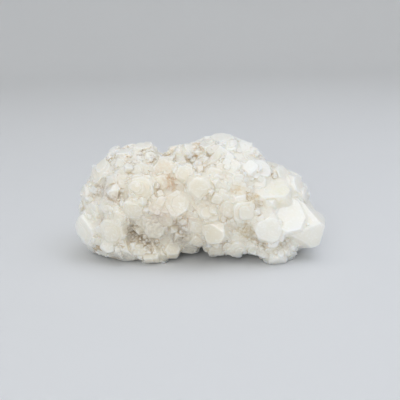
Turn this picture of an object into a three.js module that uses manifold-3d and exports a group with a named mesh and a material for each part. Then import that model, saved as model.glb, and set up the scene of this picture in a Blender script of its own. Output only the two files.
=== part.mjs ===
// An apophyllite cluster: blocky, milky crystals grown together over a lumpy matrix, as one solid.
// Millimetres, +Z up. The crystal face looks along -Y, +X is its right hand, and it stands on Z = 0.
import * as THREE from 'three';
import { ConvexGeometry } from 'three/addons/geometries/ConvexGeometry.js';
import { mergeVertices } from 'three/addons/utils/BufferGeometryUtils.js';
import Module from 'manifold-3d';

const wasm = await Module();
wasm.setup();

const UP = new THREE.Vector3(0, 0, 1);
const GOLDEN_ANGLE = Math.PI * (3 - Math.sqrt(5));
const SEED = 20071;

// The tables below are measured from a spot under the belly. This moves it, so that the box of the
// finished cluster is centred over the origin.
const CENTRING = [0.56, 0.94, 0];

// Apophyllite is tetragonal: a square prism with a flat end, its four corners cut by steep pyramid
// faces. This is the angle between a pyramid face and the flat end.
const PYRAMID_ANGLE = 60.4;
const PYRAMID_RISE = Math.tan(THREE.MathUtils.degToRad(PYRAMID_ANGLE)) / Math.SQRT2;

// The mass that the crystals grew on, as overlapping lumps. Each row says where the middle of a lump is,
// how far it reaches each way, how wide the small crystals on it are, and how far their ends stand out.
const LOBES = {
  crest: { at: [9.5, 2, 29], reach: [23.8, 24, 24.2], width: [7, 11], stand: [-0.6, 0.9] },
  saddle: { at: [-5, 2, 28], reach: [15.5, 19, 22.2], width: [7, 10], stand: [-0.2, 1.2] },
  leftHump: { at: [-30.5, 1, 27], reach: [21.5, 22, 23.2], width: [5.5, 9], stand: [-0.6, 0.8] },
  leftEnd: { at: [-42.3, -3, 19], reach: [14.2, 15, 20.5], width: [6.5, 10], stand: [-0.6, 0.8] },
  belly: { at: [-2, -8, 22], reach: [36, 17.5, 18], width: [7, 11], stand: [-0.2, 2] },
  rightShoulder: { at: [31.5, -1, 22], reach: [18.8, 21, 17.8], width: [7, 11], stand: [-0.5, 1] },
  rightNose: { at: [42, -9, 14], reach: [11.5, 12, 11.5], width: [7, 10], stand: [-0.2, 1.2] },
  leftFoot: { at: [-32, -10.5, 8], reach: [20.5, 13, 8.8], width: [7, 10], stand: [0, 1.4] },
  rightFoot: { at: [33, -15, 8], reach: [12, 11.5, 8.8], width: [7, 9], stand: [0, 1.4] },
  backFoot: { at: [0, 15, 10], reach: [33, 12, 10.8], width: [8, 11], stand: [0, 1.4] },
};
const lobes = Object.values(LOBES);
const LOBE_DETAIL = 1;
const COVERED = 0.96;

// The large crystals, one by one. tip is the middle of the free end, and width is across the prism.
// bearing turns the long axis from the front (-Y) to the right hand (+X) and rise lifts it, in degrees,
// and spin turns the crystal on its axis. blunt is how much of the point the flat end takes away: at 0
// the crystal is pointed, at 1 its end is a diamond as wide as the prism, and at 2 it is a plain block.
// corners, where given, is how much further out each pyramid face lies, as a share of its distance.
const LARGE_CRYSTALS = {
  // right end
  rightPoint: {
    tip: [55, -19, 12.3], width: 17.3, bearing: 80, rise: -13, spin: 40, blunt: 0.75,
    corners: [0, 0.1, 0, 0.1],
  },
  rightBlock: { tip: [36.8, -25.2, 23.4], width: 18, bearing: 12, rise: 44, spin: 20, blunt: 1.4 },
  rightFront: { tip: [29.4, -31.5, 17.6], width: 11, bearing: 4, rise: 4, spin: 28, blunt: 1.3 },
  rightSlab: { tip: [31.9, -17.8, 34.2], width: 15.5, bearing: 10, rise: 66, spin: 8, blunt: 1.5 },
  slabRight: {
    tip: [39.6, -13.5, 31.2], width: 10.5, bearing: 28, rise: 60, spin: 34, blunt: 1.3,
    corners: [0.1, 0, 0.1, 0],
  },
  slabCorner: { tip: [40, -9, 36.5], width: 11, bearing: 56, rise: 42, spin: 30, blunt: 1.2 },
  shoulderCorner: { tip: [45.5, -11, 33], width: 9.5, bearing: 60, rise: 24, spin: 12, blunt: 1.2 },
  shoulderEdge: { tip: [48.5, -11, 27.5], width: 8, bearing: 66, rise: 8, spin: 30, blunt: 1.2 },
  noseShade: { tip: [38, -24, 9], width: 11, bearing: 22, rise: -20, spin: 10, blunt: 1.3 },
  rightFootLeft: { tip: [29, -26, 4.5], width: 7, bearing: -4, rise: -40, spin: 30, blunt: 1 },
  rightFootMiddle: { tip: [34, -27, 1.5], width: 8.5, bearing: 8, rise: -44, spin: 14, blunt: 1.2 },
  rightFootRight: { tip: [40, -23.5, 2.5], width: 8, bearing: 30, rise: -40, spin: 38, blunt: 1 },
  // middle of the face
  brightPoint: {
    tip: [5.5, -31.5, 17], width: 9.5, bearing: -20, rise: -4, spin: -6, blunt: 1,
    corners: [0.5, 0.7, 0.3, 0],
  },
  middleBlock: { tip: [-0.2, -28.5, 36.3], width: 10.5, bearing: 0, rise: 6, spin: 0, blunt: 1.6 },
  middleRight: { tip: [8.5, -27, 35], width: 10, bearing: 10, rise: 8, spin: 22, blunt: 1.2 },
  middleLeft: { tip: [-9.8, -28, 30.4], width: 10.5, bearing: -4, rise: 30, spin: 28, blunt: 1.4 },
  ring: { tip: [2.5, -29.5, 27.5], width: 8, bearing: 4, rise: 32, spin: 40, blunt: 1.2 },
  belowMiddle: { tip: [-2, -29, 20.5], width: 9.5, bearing: -4, rise: -12, spin: 30, blunt: 1.1 },
  underMiddle: { tip: [-1.5, -26, 11.5], width: 8, bearing: 0, rise: -36, spin: 16, blunt: 1 },
  rightMiddle: { tip: [12.5, -29, 27], width: 8.5, bearing: 6, rise: 2, spin: 36, blunt: 1.2 },
  rightMiddleLow: { tip: [19, -29.5, 25.5], width: 9.5, bearing: 8, rise: -4, spin: 10, blunt: 1.4 },
  stainedBlock: { tip: [20, -27.5, 17.5], width: 8, bearing: 6, rise: -10, spin: 24, blunt: 1.4 },
  hemRight: { tip: [16, -26, 7.3], width: 9.5, bearing: 6, rise: -30, spin: 12, blunt: 1.2 },
  hemMiddle: { tip: [7, -24.5, 6.8], width: 9.5, bearing: 0, rise: -32, spin: 34, blunt: 1.1 },
  hemCorner: { tip: [24, -26, 7], width: 7, bearing: 4, rise: -34, spin: 20, blunt: 1 },
  hemLeft: { tip: [-5.5, -18.5, 5.5], width: 8.5, bearing: 0, rise: -34, spin: 30, blunt: 1.2 },
  // left half of the face
  leftRound: { tip: [-29.5, -27, 27], width: 10, bearing: -8, rise: -10, spin: 32, blunt: 1.2 },
  leftOctagon: { tip: [-25.5, -25.5, 36], width: 11, bearing: -6, rise: 10, spin: 6, blunt: 1.3 },
  greyStepOuter: { tip: [-20.5, -25.5, 18.8], width: 13.5, bearing: -2, rise: -12, spin: 34, blunt: 1.4 },
  greyStepInner: { tip: [-20.1, -27.1, 18.4], width: 9.5, bearing: -2, rise: -12, spin: 34, blunt: 1.4 },
  leftPoint: { tip: [-53.5, -17, 15], width: 11.5, bearing: -44, rise: -6, spin: 6, blunt: 1.5 },
  leftLow: { tip: [-39.5, -24.5, 17.2], width: 11.5, bearing: -18, rise: -8, spin: 30, blunt: 1.1 },
  leftKeel: { tip: [-48, -16, 6.5], width: 11, bearing: -40, rise: -30, spin: 14, blunt: 1.3 },
  leftGlint: { tip: [-36, -26, 23.5], width: 7.5, bearing: -14, rise: -4, spin: 4, blunt: 1 },
  leftChip: { tip: [-41, -23, 28.5], width: 7, bearing: -22, rise: 4, spin: 12, blunt: 1.2 },
  leftStub: { tip: [-49, -16.5, 24], width: 7.5, bearing: -44, rise: 4, spin: 28, blunt: 1.3 },
  leftEdge: { tip: [-54, -8, 29.5], width: 9.5, bearing: -66, rise: 12, spin: 14, blunt: 1.3 },
  footPoint: { tip: [-22, -23.5, 2], width: 10.5, bearing: -4, rise: -46, spin: 44, blunt: 0.7 },
  footPointRight: { tip: [-13, -22.5, 3.5], width: 10, bearing: 4, rise: -46, spin: 44, blunt: 0.7 },
  footPlate: { tip: [-35.5, -21.5, 4], width: 10, bearing: -12, rise: -40, spin: 8, blunt: 1.5 },
  // upper face and skyline
  tanBlock: { tip: [-15, -18.5, 43], width: 10.5, bearing: -2, rise: 38, spin: 4, blunt: 1.6 },
  upperWhite: { tip: [14, -20, 44], width: 9, bearing: 8, rise: 36, spin: 20, blunt: 1.2 },
  brightChip: { tip: [16.5, -23.5, 39], width: 7, bearing: 10, rise: 18, spin: 42, blunt: 0.9 },
  upperMiddle: { tip: [6.5, -23, 41], width: 8, bearing: 2, rise: 24, spin: 34, blunt: 1.1 },
  upperLeft: { tip: [-6.5, -23, 42], width: 8, bearing: -4, rise: 30, spin: 14, blunt: 1.2 },
  upperRight: { tip: [28, -13.5, 41.5], width: 9, bearing: 26, rise: 46, spin: 12, blunt: 1.3 },
  skylineRight: { tip: [21.5, -5, 49], width: 9, bearing: 26, rise: 62, spin: 30, blunt: 1.2 },
  skylinePeak: { tip: [11, -1, 54], width: 10, bearing: 10, rise: 80, spin: 16, blunt: 1.3 },
  skylineLeft: { tip: [-26, 0, 50.8], width: 9.5, bearing: -10, rise: 82, spin: 24, blunt: 1.2 },
  leftBrow: { tip: [-45, -8, 41.5], width: 10, bearing: -48, rise: 44, spin: 18, blunt: 1.4 },
  // ends and back
  rightBack: { tip: [46, 11, 21], width: 12, bearing: 118, rise: 8, spin: 26, blunt: 1 },
  rightBackLow: { tip: [43, 15, 9], width: 9, bearing: 126, rise: -16, spin: 10, blunt: 1.2 },
  leftBack: { tip: [-49, 10, 24], width: 10, bearing: -116, rise: 6, spin: 32, blunt: 1.1 },
  leftBackLow: { tip: [-47, 9, 9], width: 9, bearing: -124, rise: -14, spin: 18, blunt: 1 },
  backCrest: { tip: [14, 25.5, 41], width: 10, bearing: 172, rise: 34, spin: 12, blunt: 1.2 },
  backLeft: { tip: [-24, 24.5, 36], width: 9, bearing: -172, rise: 22, spin: 30, blunt: 1 },
};

// How far the root of a large crystal reaches into the mass, beyond its own width.
const ROOT = 5;

// The small crystals crowd each lobe, as close together as spacing times their widths allows. Most are
// near their lobe's narrowest width, and they lean a little. Those on the back are coarser. Where the
// cluster broke away from its rock, low on the back and below, plain broken blocks take their place.
const SMALL = {
  tries: 233,
  stride: 89,
  spacing: 0.87,
  clearance: 1.25,
  lean: 0.6,
  mostlyNarrow: 1.5,
  flat: [0.75, 1],
  blunt: [0.6, 2.6],
};
const BACK = { facing: 0.4, coarser: 1.25 };
const BROKEN = { facing: 0.45, below: 18, under: -0.6, coarser: 1.35, lean: 1, sunk: 0.1 };
const LOWEST = 2.5;

// How unequal the four pyramid faces of one crystal can be, as a share of their distance.
const UNEVEN = 0.16;

/** Repeatable random numbers from 0 to 1. */
function seededRandom(seed) {
  let state = seed >>> 0;
  return () => {
    state = (Math.imul(state, 1664525) + 1013904223) >>> 0;
    return state / 4294967296;
  };
}

/** A number between two limits. */
function between([low, high], share) {
  return low + (high - low) * share;
}

/** A closed three.js geometry as a solid that can be joined and cut. */
function solidFrom(geometry) {
  const bare = geometry.clone();
  bare.deleteAttribute('normal');
  bare.deleteAttribute('uv');
  const merged = mergeVertices(bare, 1e-4);
  return new wasm.Manifold(new wasm.Mesh({
    numProp: 3,
    vertProperties: merged.attributes.position.array,
    triVerts: new Uint32Array(merged.index.array),
  }));
}

/** The planes that bound one crystal, with its free end at the origin and its long axis along +Z. */
function crystalPlanes({ width, flat, blunt, uneven, length }) {
  const half = width / 2;
  const planes = [
    { normal: new THREE.Vector3(1, 0, 0), offset: half },
    { normal: new THREE.Vector3(-1, 0, 0), offset: half },
    { normal: new THREE.Vector3(0, 1, 0), offset: half * flat },
    { normal: new THREE.Vector3(0, -1, 0), offset: half * flat },
    { normal: new THREE.Vector3(0, 0, 1), offset: 0 },
    { normal: new THREE.Vector3(0, 0, -1), offset: length },
  ];
  for (const x of [-1, 1]) {
    for (const y of [-1, 1]) {
      const share = 1 + uneven[planes.length - 6];
      planes.push({ normal: new THREE.Vector3(x, y, 1 / PYRAMID_RISE), offset: half * blunt * share });
    }
  }
  return planes;
}

/** The corners of the body that planes bound: each is where three planes meet, inside the others. */
function cornersOf(planes) {
  const tiny = 1e-6;
  const corners = [];
  for (let i = 0; i < planes.length; i++) {
    for (let j = i + 1; j < planes.length; j++) {
      for (let k = j + 1; k < planes.length; k++) {
        const [a, b, c] = [planes[i], planes[j], planes[k]];
        const across = new THREE.Vector3().crossVectors(b.normal, c.normal);
        const volume = a.normal.dot(across);
        if (Math.abs(volume) < tiny) continue;
        const corner = across.multiplyScalar(a.offset);
        corner.addScaledVector(new THREE.Vector3().crossVectors(c.normal, a.normal), b.offset);
        corner.addScaledVector(new THREE.Vector3().crossVectors(a.normal, b.normal), c.offset);
        corner.divideScalar(volume);
        const inside = planes.every(({ normal, offset }) => normal.dot(corner) < offset + tiny);
        const isNew = corners.every((other) => other.distanceTo(corner) > tiny);
        if (inside && isNew) corners.push(corner);
      }
    }
  }
  return corners;
}

/** One crystal, placed with its free end at tip and its long axis along axis. */
function crystalSolid({ tip, axis, spin, ...habit }) {
  const geometry = new ConvexGeometry(cornersOf(crystalPlanes(habit)));
  const turn = new THREE.Quaternion().setFromUnitVectors(UP, axis);
  turn.multiply(new THREE.Quaternion().setFromAxisAngle(UP, spin));
  geometry.applyMatrix4(new THREE.Matrix4().compose(tip, turn, new THREE.Vector3(1, 1, 1)));
  return solidFrom(geometry);
}

/** Four random shares for the unequal pyramid faces of one crystal. */
function unevenFaces(random) {
  return [0, 0, 0, 0].map(() => between([-UNEVEN, UNEVEN], random()));
}

/** The direction that a bearing and a rise, in degrees, point in. */
function direction(bearing, rise) {
  const turned = THREE.MathUtils.degToRad(bearing);
  const lifted = THREE.MathUtils.degToRad(rise);
  const level = Math.cos(lifted);
  return new THREE.Vector3(Math.sin(turned) * level, -Math.cos(turned) * level, Math.sin(lifted));
}

/** A large crystal's row as a crystal that reaches well into the mass behind it. */
function largeCrystal({ tip, bearing, rise, spin, width, blunt, corners }, random) {
  return {
    width,
    blunt,
    flat: 1,
    uneven: corners ?? unevenFaces(random),
    length: width + ROOT,
    tip: new THREE.Vector3(...tip),
    axis: direction(bearing, rise),
    spin: THREE.MathUtils.degToRad(spin),
  };
}

/** A point on a lobe in the direction of a unit vector. */
function onLobe({ at, reach }, unit) {
  return new THREE.Vector3(...reach).multiply(unit).add(new THREE.Vector3(...at));
}

/** How deep a point lies in a lobe: below 1 is inside it. */
function depthIn({ at, reach }, point) {
  return point.clone().sub(new THREE.Vector3(...at)).divide(new THREE.Vector3(...reach)).length();
}

/** One lump of the mass, as a rounded many-sided block. */
function lobeSolid(lobe) {
  const geometry = new THREE.IcosahedronGeometry(1, LOBE_DETAIL);
  geometry.scale(...lobe.reach);
  geometry.translate(...lobe.at);
  return solidFrom(geometry);
}

/** Evenly spread places on a lobe that no other lobe covers, each with its outward direction. */
function placesOn(lobe) {
  const places = [];
  for (let i = 0; i < SMALL.tries; i++) {
    const step = (i * SMALL.stride) % SMALL.tries;
    const height = 1 - (2 * step + 1) / SMALL.tries;
    const radius = Math.sqrt(1 - height * height);
    const angle = step * GOLDEN_ANGLE;
    const unit = new THREE.Vector3(radius * Math.cos(angle), radius * Math.sin(angle), height);
    const point = onLobe(lobe, unit);
    const covered = lobes.some((other) => other !== lobe && depthIn(other, point) < COVERED);
    const outward = unit.clone().divide(new THREE.Vector3(...lobe.reach)).normalize();
    if (!covered && point.z > LOWEST) places.push({ point, outward });
  }
  return places;
}

/** True where a large crystal already stands. */
function onLargeCrystal(point, large) {
  return large.some(({ tip, axis, width, length }) => {
    const back = tip.clone().sub(point);
    const along = back.dot(axis);
    const aside = Math.sqrt(Math.max(0, back.lengthSq() - along * along));
    return along > -width && along < length && aside < (SMALL.clearance * width) / 2;
  });
}

/** True where a small crystal already stands too near. */
function crowded(point, width, crust) {
  const roomFor = (other) => (SMALL.spacing * (other.width + width)) / 2;
  return crust.some((other) => other.point.distanceTo(point) < roomFor(other));
}

/** What kind of crystal grows on a place. */
function kindAt({ point, outward }) {
  const broken = outward.z < BROKEN.under || (outward.y > BROKEN.facing && point.z < BROKEN.below);
  if (broken) return { coarser: BROKEN.coarser, lean: BROKEN.lean, sunk: BROKEN.sunk, plain: true };
  const coarser = outward.y > BACK.facing ? BACK.coarser : 1;
  return { coarser, lean: SMALL.lean, sunk: 0, plain: false };
}

/** A small crystal on a place, leaning at random. */
function smallCrystal({ point, outward }, { lean, sunk, plain }, width, stand, random) {
  const push = new THREE.Vector3(random() - 0.5, random() - 0.5, random() - 0.5);
  const height = between(stand, random()) - sunk * width;
  return {
    width,
    axis: outward.clone().addScaledVector(push, lean).normalize(),
    tip: point.clone().addScaledVector(outward, height),
    flat: between(SMALL.flat, random()),
    blunt: plain ? SMALL.blunt[1] : between(SMALL.blunt, random()),
    uneven: unevenFaces(random),
    spin: random() * Math.PI,
    length: width,
  };
}

/** The crust of small crystals that covers the mass between the large ones. */
function growCrust(large, random) {
  const crust = [];
  for (const lobe of lobes) {
    for (const place of placesOn(lobe)) {
      const kind = kindAt(place);
      const width = between(lobe.width, random() ** SMALL.mostlyNarrow) * kind.coarser;
      if (onLargeCrystal(place.point, large) || crowded(place.point, width, crust)) continue;
      const crystal = smallCrystal(place, kind, width, lobe.stand, random);
      crust.push({ point: place.point, ...crystal });
    }
  }
  return crust;
}

/** The whole cluster as one solid, cut flat where it stands. */
function growCluster() {
  const random = seededRandom(SEED);
  const large = Object.values(LARGE_CRYSTALS).map((row) => largeCrystal(row, random));
  const crystals = [...large, ...growCrust(large, random)];
  const pieces = [...lobes.map(lobeSolid), ...crystals.map(crystalSolid)];
  const joined = pieces.reduce((mass, piece) => mass.add(piece));
  const span = 400;
  const ground = new THREE.BoxGeometry(span, span, span).translate(0, 0, -span / 2);
  return joined.subtract(solidFrom(ground));
}

/** The faces of the largest closed skin of a mesh, which leaves out pockets sealed between crystals. */
function outerSkin({ numVert, triVerts }) {
  const parent = Array.from({ length: numVert }, (_, i) => i);
  const skinOf = (corner) => {
    let root = corner;
    while (parent[root] !== root) root = parent[root];
    parent[corner] = root;
    return root;
  };
  for (let i = 0; i < triVerts.length; i += 3) {
    parent[skinOf(triVerts[i])] = skinOf(triVerts[i + 1]);
    parent[skinOf(triVerts[i + 1])] = skinOf(triVerts[i + 2]);
  }
  const skins = new Map();
  for (let i = 0; i < triVerts.length; i += 3) {
    const skin = skinOf(triVerts[i]);
    if (!skins.has(skin)) skins.set(skin, []);
    skins.get(skin).push(...triVerts.subarray(i, i + 3));
  }
  return [...skins.values()].reduce((most, faces) => (faces.length > most.length ? faces : most));
}

/** A solid's outer surface as a three.js geometry. */
function geometryFrom(solid) {
  const mesh = solid.getMesh();
  const corners = new Float32Array(mesh.vertProperties);
  const geometry = new THREE.BufferGeometry();
  geometry.setAttribute('position', new THREE.BufferAttribute(corners, 3));
  geometry.setIndex(outerSkin(mesh));
  geometry.translate(...CENTRING);
  geometry.computeVertexNormals();
  return geometry;
}

const milkyCrystal = new THREE.MeshStandardMaterial({
  color: 0xe6e3d8,
  roughness: 0.42,
  metalness: 0,
  flatShading: true,
});

const cluster = new THREE.Mesh(geometryFrom(growCluster()), milkyCrystal);
cluster.name = 'apophyllite_cluster';

const specimen = new THREE.Group();
specimen.add(cluster);

export default specimen;
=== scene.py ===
import math
from dataclasses import dataclass, replace
from itertools import combinations, product

import bmesh
import bpy
import numpy as np
from bpy.props import FloatProperty, FloatVectorProperty, IntProperty, PointerProperty
from mathutils import Matrix, Quaternion, Vector
from mathutils.bvhtree import BVHTree
from mathutils.noise import fractal


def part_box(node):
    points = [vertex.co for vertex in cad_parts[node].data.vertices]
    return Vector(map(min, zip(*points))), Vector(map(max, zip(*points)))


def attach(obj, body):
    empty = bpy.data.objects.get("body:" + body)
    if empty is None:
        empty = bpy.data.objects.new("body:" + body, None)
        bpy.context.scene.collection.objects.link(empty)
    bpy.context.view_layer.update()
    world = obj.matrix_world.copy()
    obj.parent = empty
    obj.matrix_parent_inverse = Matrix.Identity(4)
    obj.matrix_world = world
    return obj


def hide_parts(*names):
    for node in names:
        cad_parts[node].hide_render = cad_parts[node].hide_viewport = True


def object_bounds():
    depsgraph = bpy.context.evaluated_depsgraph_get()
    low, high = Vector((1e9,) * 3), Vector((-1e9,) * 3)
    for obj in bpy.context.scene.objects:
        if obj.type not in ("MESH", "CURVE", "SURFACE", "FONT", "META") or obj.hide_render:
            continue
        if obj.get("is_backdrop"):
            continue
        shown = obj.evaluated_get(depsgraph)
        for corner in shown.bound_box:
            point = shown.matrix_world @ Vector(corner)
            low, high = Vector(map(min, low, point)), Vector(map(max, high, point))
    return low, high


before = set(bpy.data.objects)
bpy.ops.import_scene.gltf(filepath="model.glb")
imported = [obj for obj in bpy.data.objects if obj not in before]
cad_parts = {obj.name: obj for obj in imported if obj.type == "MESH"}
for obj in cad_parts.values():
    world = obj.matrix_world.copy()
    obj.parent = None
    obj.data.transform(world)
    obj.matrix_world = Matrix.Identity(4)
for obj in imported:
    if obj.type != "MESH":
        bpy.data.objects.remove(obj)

bl_info = {
    "name": "Apophyllite cluster",
    "version": (1, 0, 0),
    "blender": (4, 5, 0),
    "location": "3D View > Sidebar > Mineral",
    "description": "Grows a cluster of milky apophyllite crystals with druse and stained matrix",
    "category": "Object",
}

NODE = "apophyllite_cluster"
BODY = "root"
CAD_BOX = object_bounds()

# The tables below are in millimetres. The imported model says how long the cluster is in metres.
LENGTH = 115.141
LOW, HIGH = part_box(NODE)
MM = (HIGH.x - LOW.x) / LENGTH

# The tables are measured from a spot under the belly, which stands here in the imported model.
CENTRING = Vector((0.56, 0.94, 0.0))

# Apophyllite is tetragonal: a square prism with a flat end and four steep pyramid faces.
PYRAMID_ANGLE = math.radians(60.4)
PYRAMID_RISE = math.tan(PYRAMID_ANGLE) / math.sqrt(2)
UP = Vector((0.0, 0.0, 1.0))
GOLDEN_ANGLE = math.pi * (3 - math.sqrt(5))

# The lumps that the crystals grew on: middle, reach, width of the crust crystals, how far they stand out.
LOBES = {
    "crest": ((9.5, 2, 29), (23.8, 24, 24.2), (7, 11), (-0.6, 0.9)),
    "saddle": ((-5, 2, 28), (15.5, 19, 22.2), (7, 10), (-0.2, 1.2)),
    "left_hump": ((-30.5, 1, 27), (21.5, 22, 23.2), (5.5, 9), (-0.6, 0.8)),
    "left_end": ((-42.3, -3, 19), (14.2, 15, 20.5), (6.5, 10), (-0.6, 0.8)),
    "belly": ((-2, -8, 22), (36, 17.5, 18), (7, 11), (-0.2, 2)),
    "right_shoulder": ((31.5, -1, 22), (18.8, 21, 17.8), (7, 11), (-0.5, 1)),
    "right_nose": ((42, -9, 14), (11.5, 12, 11.5), (7, 10), (-0.2, 1.2)),
    "left_foot": ((-32, -10.5, 8), (20.5, 13, 8.8), (7, 10), (0, 1.4)),
    "right_foot": ((33, -15, 8), (12, 11.5, 8.8), (7, 9), (0, 1.4)),
    "back_foot": ((0, 15, 10), (33, 12, 10.8), (8, 11), (0, 1.4)),
}

# The large crystals: middle of the free end, width, bearing, rise, spin in degrees, how blunt the point is.
LARGE_CRYSTALS = {
    # right end
    "right_point": ((55, -19, 12.3), 17.3, 80, -13, 40, 0.75),
    "right_block": ((36.8, -25.2, 23.4), 18, 12, 44, 20, 1.4),
    "right_front": ((29.4, -31.5, 17.6), 11, 4, 4, 28, 1.3),
    "right_slab": ((31.9, -17.8, 34.2), 15.5, 10, 66, 8, 1.5),
    "slab_right": ((39.6, -13.5, 31.2), 10.5, 28, 60, 34, 1.3),
    "slab_corner": ((40, -9, 36.5), 11, 56, 42, 30, 1.2),
    "shoulder_corner": ((45.5, -11, 33), 9.5, 60, 24, 12, 1.2),
    "shoulder_edge": ((48.5, -11, 27.5), 8, 66, 8, 30, 1.2),
    "nose_shade": ((38, -24, 9), 11, 22, -20, 10, 1.3),
    "right_foot_left": ((29, -26, 4.5), 7, -4, -40, 30, 1),
    "right_foot_middle": ((34, -27, 1.5), 8.5, 8, -44, 14, 1.2),
    "right_foot_right": ((40, -23.5, 2.5), 8, 30, -40, 38, 1),
    # middle of the face
    "bright_point": ((5.5, -31.5, 17), 9.5, -20, -4, -6, 1),
    "middle_block": ((-0.2, -28.5, 36.3), 10.5, 0, 6, 0, 1.2),
    "middle_right": ((8.5, -27, 35), 10, 10, 8, 22, 1.2),
    "middle_left": ((-9.8, -28, 30.4), 10.5, -4, 30, 28, 1.4),
    "ring": ((2.5, -29.5, 27.5), 8, 4, 32, 40, 1.2),
    "below_middle": ((-2, -29, 20.5), 9.5, -4, -12, 30, 1.1),
    "under_middle": ((-1.5, -26, 11.5), 8, 0, -36, 16, 1),
    "right_middle": ((12.5, -29, 27), 8.5, 6, 2, 36, 1.2),
    "right_middle_low": ((19, -29.5, 25.5), 9.5, 8, -4, 10, 1.4),
    "stained_block": ((20, -27.5, 17.5), 8, 6, -10, 24, 1.4),
    "hem_right": ((16, -26, 7.3), 9.5, 6, -30, 12, 1.2),
    "hem_middle": ((7, -24.5, 6.8), 9.5, 0, -32, 34, 1.1),
    "hem_corner": ((24, -26, 7), 7, 4, -34, 20, 1),
    "hem_left": ((-5.5, -18.5, 5.5), 8.5, 0, -34, 30, 1.2),
    # left half of the face
    "left_round": ((-29.5, -27, 27), 10, -8, -10, 32, 1.2),
    "left_octagon": ((-25.5, -25.5, 36), 11, -6, 10, 6, 1.3),
    "grey_step_outer": ((-20.5, -25.5, 18.8), 13.5, -2, -12, 34, 1.4),
    "grey_step_inner": ((-20.1, -27.1, 18.4), 9.5, -2, -12, 34, 1.4),
    "left_point": ((-53.5, -17, 15), 11.5, -44, -6, 6, 1.5),
    "left_low": ((-39.5, -24.5, 17.2), 11.5, -18, -8, 30, 1.1),
    "left_keel": ((-48, -16, 6.5), 11, -40, -30, 14, 1.3),
    "left_glint": ((-36, -26, 23.5), 7.5, -14, -4, 4, 1),
    "left_chip": ((-41, -23, 28.5), 7, -22, 4, 12, 1.2),
    "left_stub": ((-49, -16.5, 24), 7.5, -44, 4, 28, 1.3),
    "left_edge": ((-54, -8, 29.5), 9.5, -66, 12, 14, 1.3),
    "foot_point": ((-22, -23.5, 2), 10.5, -4, -46, 44, 0.7),
    "foot_point_right": ((-13, -22.5, 3.5), 10, 4, -46, 44, 0.7),
    "foot_plate": ((-35.5, -21.5, 4), 10, -12, -40, 8, 1.5),
    # upper face and skyline
    "tan_block": ((-15, -18.5, 43), 10.5, -2, 38, 4, 1.3),
    "upper_white": ((14, -20, 44), 9, 8, 36, 20, 1.2),
    "bright_chip": ((16.5, -23.5, 39), 7, 10, 18, 42, 0.9),
    "upper_middle": ((6.5, -23, 41), 8, 2, 24, 34, 1.1),
    "upper_left": ((-6.5, -23, 42), 8, -4, 30, 14, 1.2),
    "upper_right": ((28, -13.5, 41.5), 9, 26, 46, 12, 1.3),
    "skyline_right": ((21.5, -5, 49), 9, 26, 62, 30, 1.2),
    "skyline_peak": ((11, -1, 54), 10, 10, 80, 16, 1.3),
    "skyline_left": ((-26, 0, 50.8), 9.5, -10, 82, 24, 1.2),
    "left_brow": ((-45, -8, 41.5), 10, -48, 44, 18, 1.4),
    # ends and back
    "right_back": ((46, 11, 21), 12, 118, 8, 26, 1),
    "right_back_low": ((43, 15, 9), 9, 126, -16, 10, 1.2),
    "left_back": ((-49, 10, 24), 10, -116, 6, 32, 1.1),
    "left_back_low": ((-47, 9, 9), 9, -124, -14, 18, 1),
    "back_crest": ((14, 25.5, 41), 10, 172, 34, 12, 1.2),
    "back_left": ((-24, 24.5, 36), 9, -172, 22, 30, 1),
}

# Lesser crystals that fill the hollows between the large ones, in the same order.
HOLLOW_CRYSTALS = (
    ((-18, -28, 28.5), 8.5, -4, 12, 20, 1.2), ((-15.5, -28, 22.5), 7, 0, -10, 35, 1.2),
    ((-17.5, -23, 37.5), 7.5, -4, 10, 12, 1.4), ((-12.6, -22.5, 36.3), 6.5, 2, 20, 30, 1.2),
    ((7.5, -28.8, 31.5), 6.5, 2, 0, 20, 1.1), ((17.1, -24.8, 35), 7, 6, 18, 10, 1.3),
    ((20.5, -26, 30.5), 6, 8, 10, 34, 1.1), ((15.3, -28, 20.5), 7, 4, -10, 14, 1.2),
    ((15, -27, 13.5), 7, 4, -18, 32, 1.2), ((-43.2, -18.4, 23.5), 7, -34, 0, 22, 1.2),
    ((-39.3, -19.2, 34.2), 8, -24, 20, 8, 1.3), ((-31, -21.5, 17), 6.5, -10, -14, 28, 1.1),
    ((28.6, -24.7, 25.6), 12.5, 12, 44, 20, 1.4), ((25.8, -18, 37), 8, 12, 44, 28, 1.3),
    ((0.5, -18.5, 41.5), 7.5, 0, 36, 18, 1.3), ((22.5, -17.5, 42.8), 8, 14, 44, 6, 1.2),
    ((-34.8, -19.5, 38.2), 9, -14, 24, 26, 1.2), ((-28.5, -17, 41.5), 8, -8, 36, 12, 1.3),
)

# Crystals with pyramid faces of their own, as shares of each face's distance.
OWN_FACES = {
    "right_point": (0, 0.1, 0, 0.1),
    "slab_right": (0.1, 0, 0.1, 0),
    "bright_point": (0.5, 0.7, 0.3, 0),
}

# The crystals whose faces are smooth and clean, with nothing grown on them.
CLEAN_CRYSTALS = (*OWN_FACES, "right_block", "shoulder_corner", "slab_corner", "foot_point_right")

# Large crystals are longer than wide by the root. Pyramid faces stand in or out by up to the uneven share.
SEED, ROOT, UNEVEN = 20071, 5, 0.16

# The crust grows over the lumps between the large crystals, where no other lump covers its place. The places
# are tried in strides all over a lump. The crystals keep apart, and clear of the large ones.
TRIES, STRIDE, COVERED, LOWEST, SPACING, CLEARANCE = 233, 89, 0.96, 2.5, 0.87, 1.25
LEAN, MOSTLY_NARROW, FLAT, BLUNT = 0.6, 1.5, (0.75, 1), (0.6, 2.6)

# It is coarser at the back. Underneath, and low at the back, it is coarser still and broken.
BACK_FACING, BACK_COARSER = 0.4, 1.25
BROKEN = {"facing": 0.45, "below": 18, "under": -0.6, "coarser": 1.35, "lean": 1, "sunk": 0.1}

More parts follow.
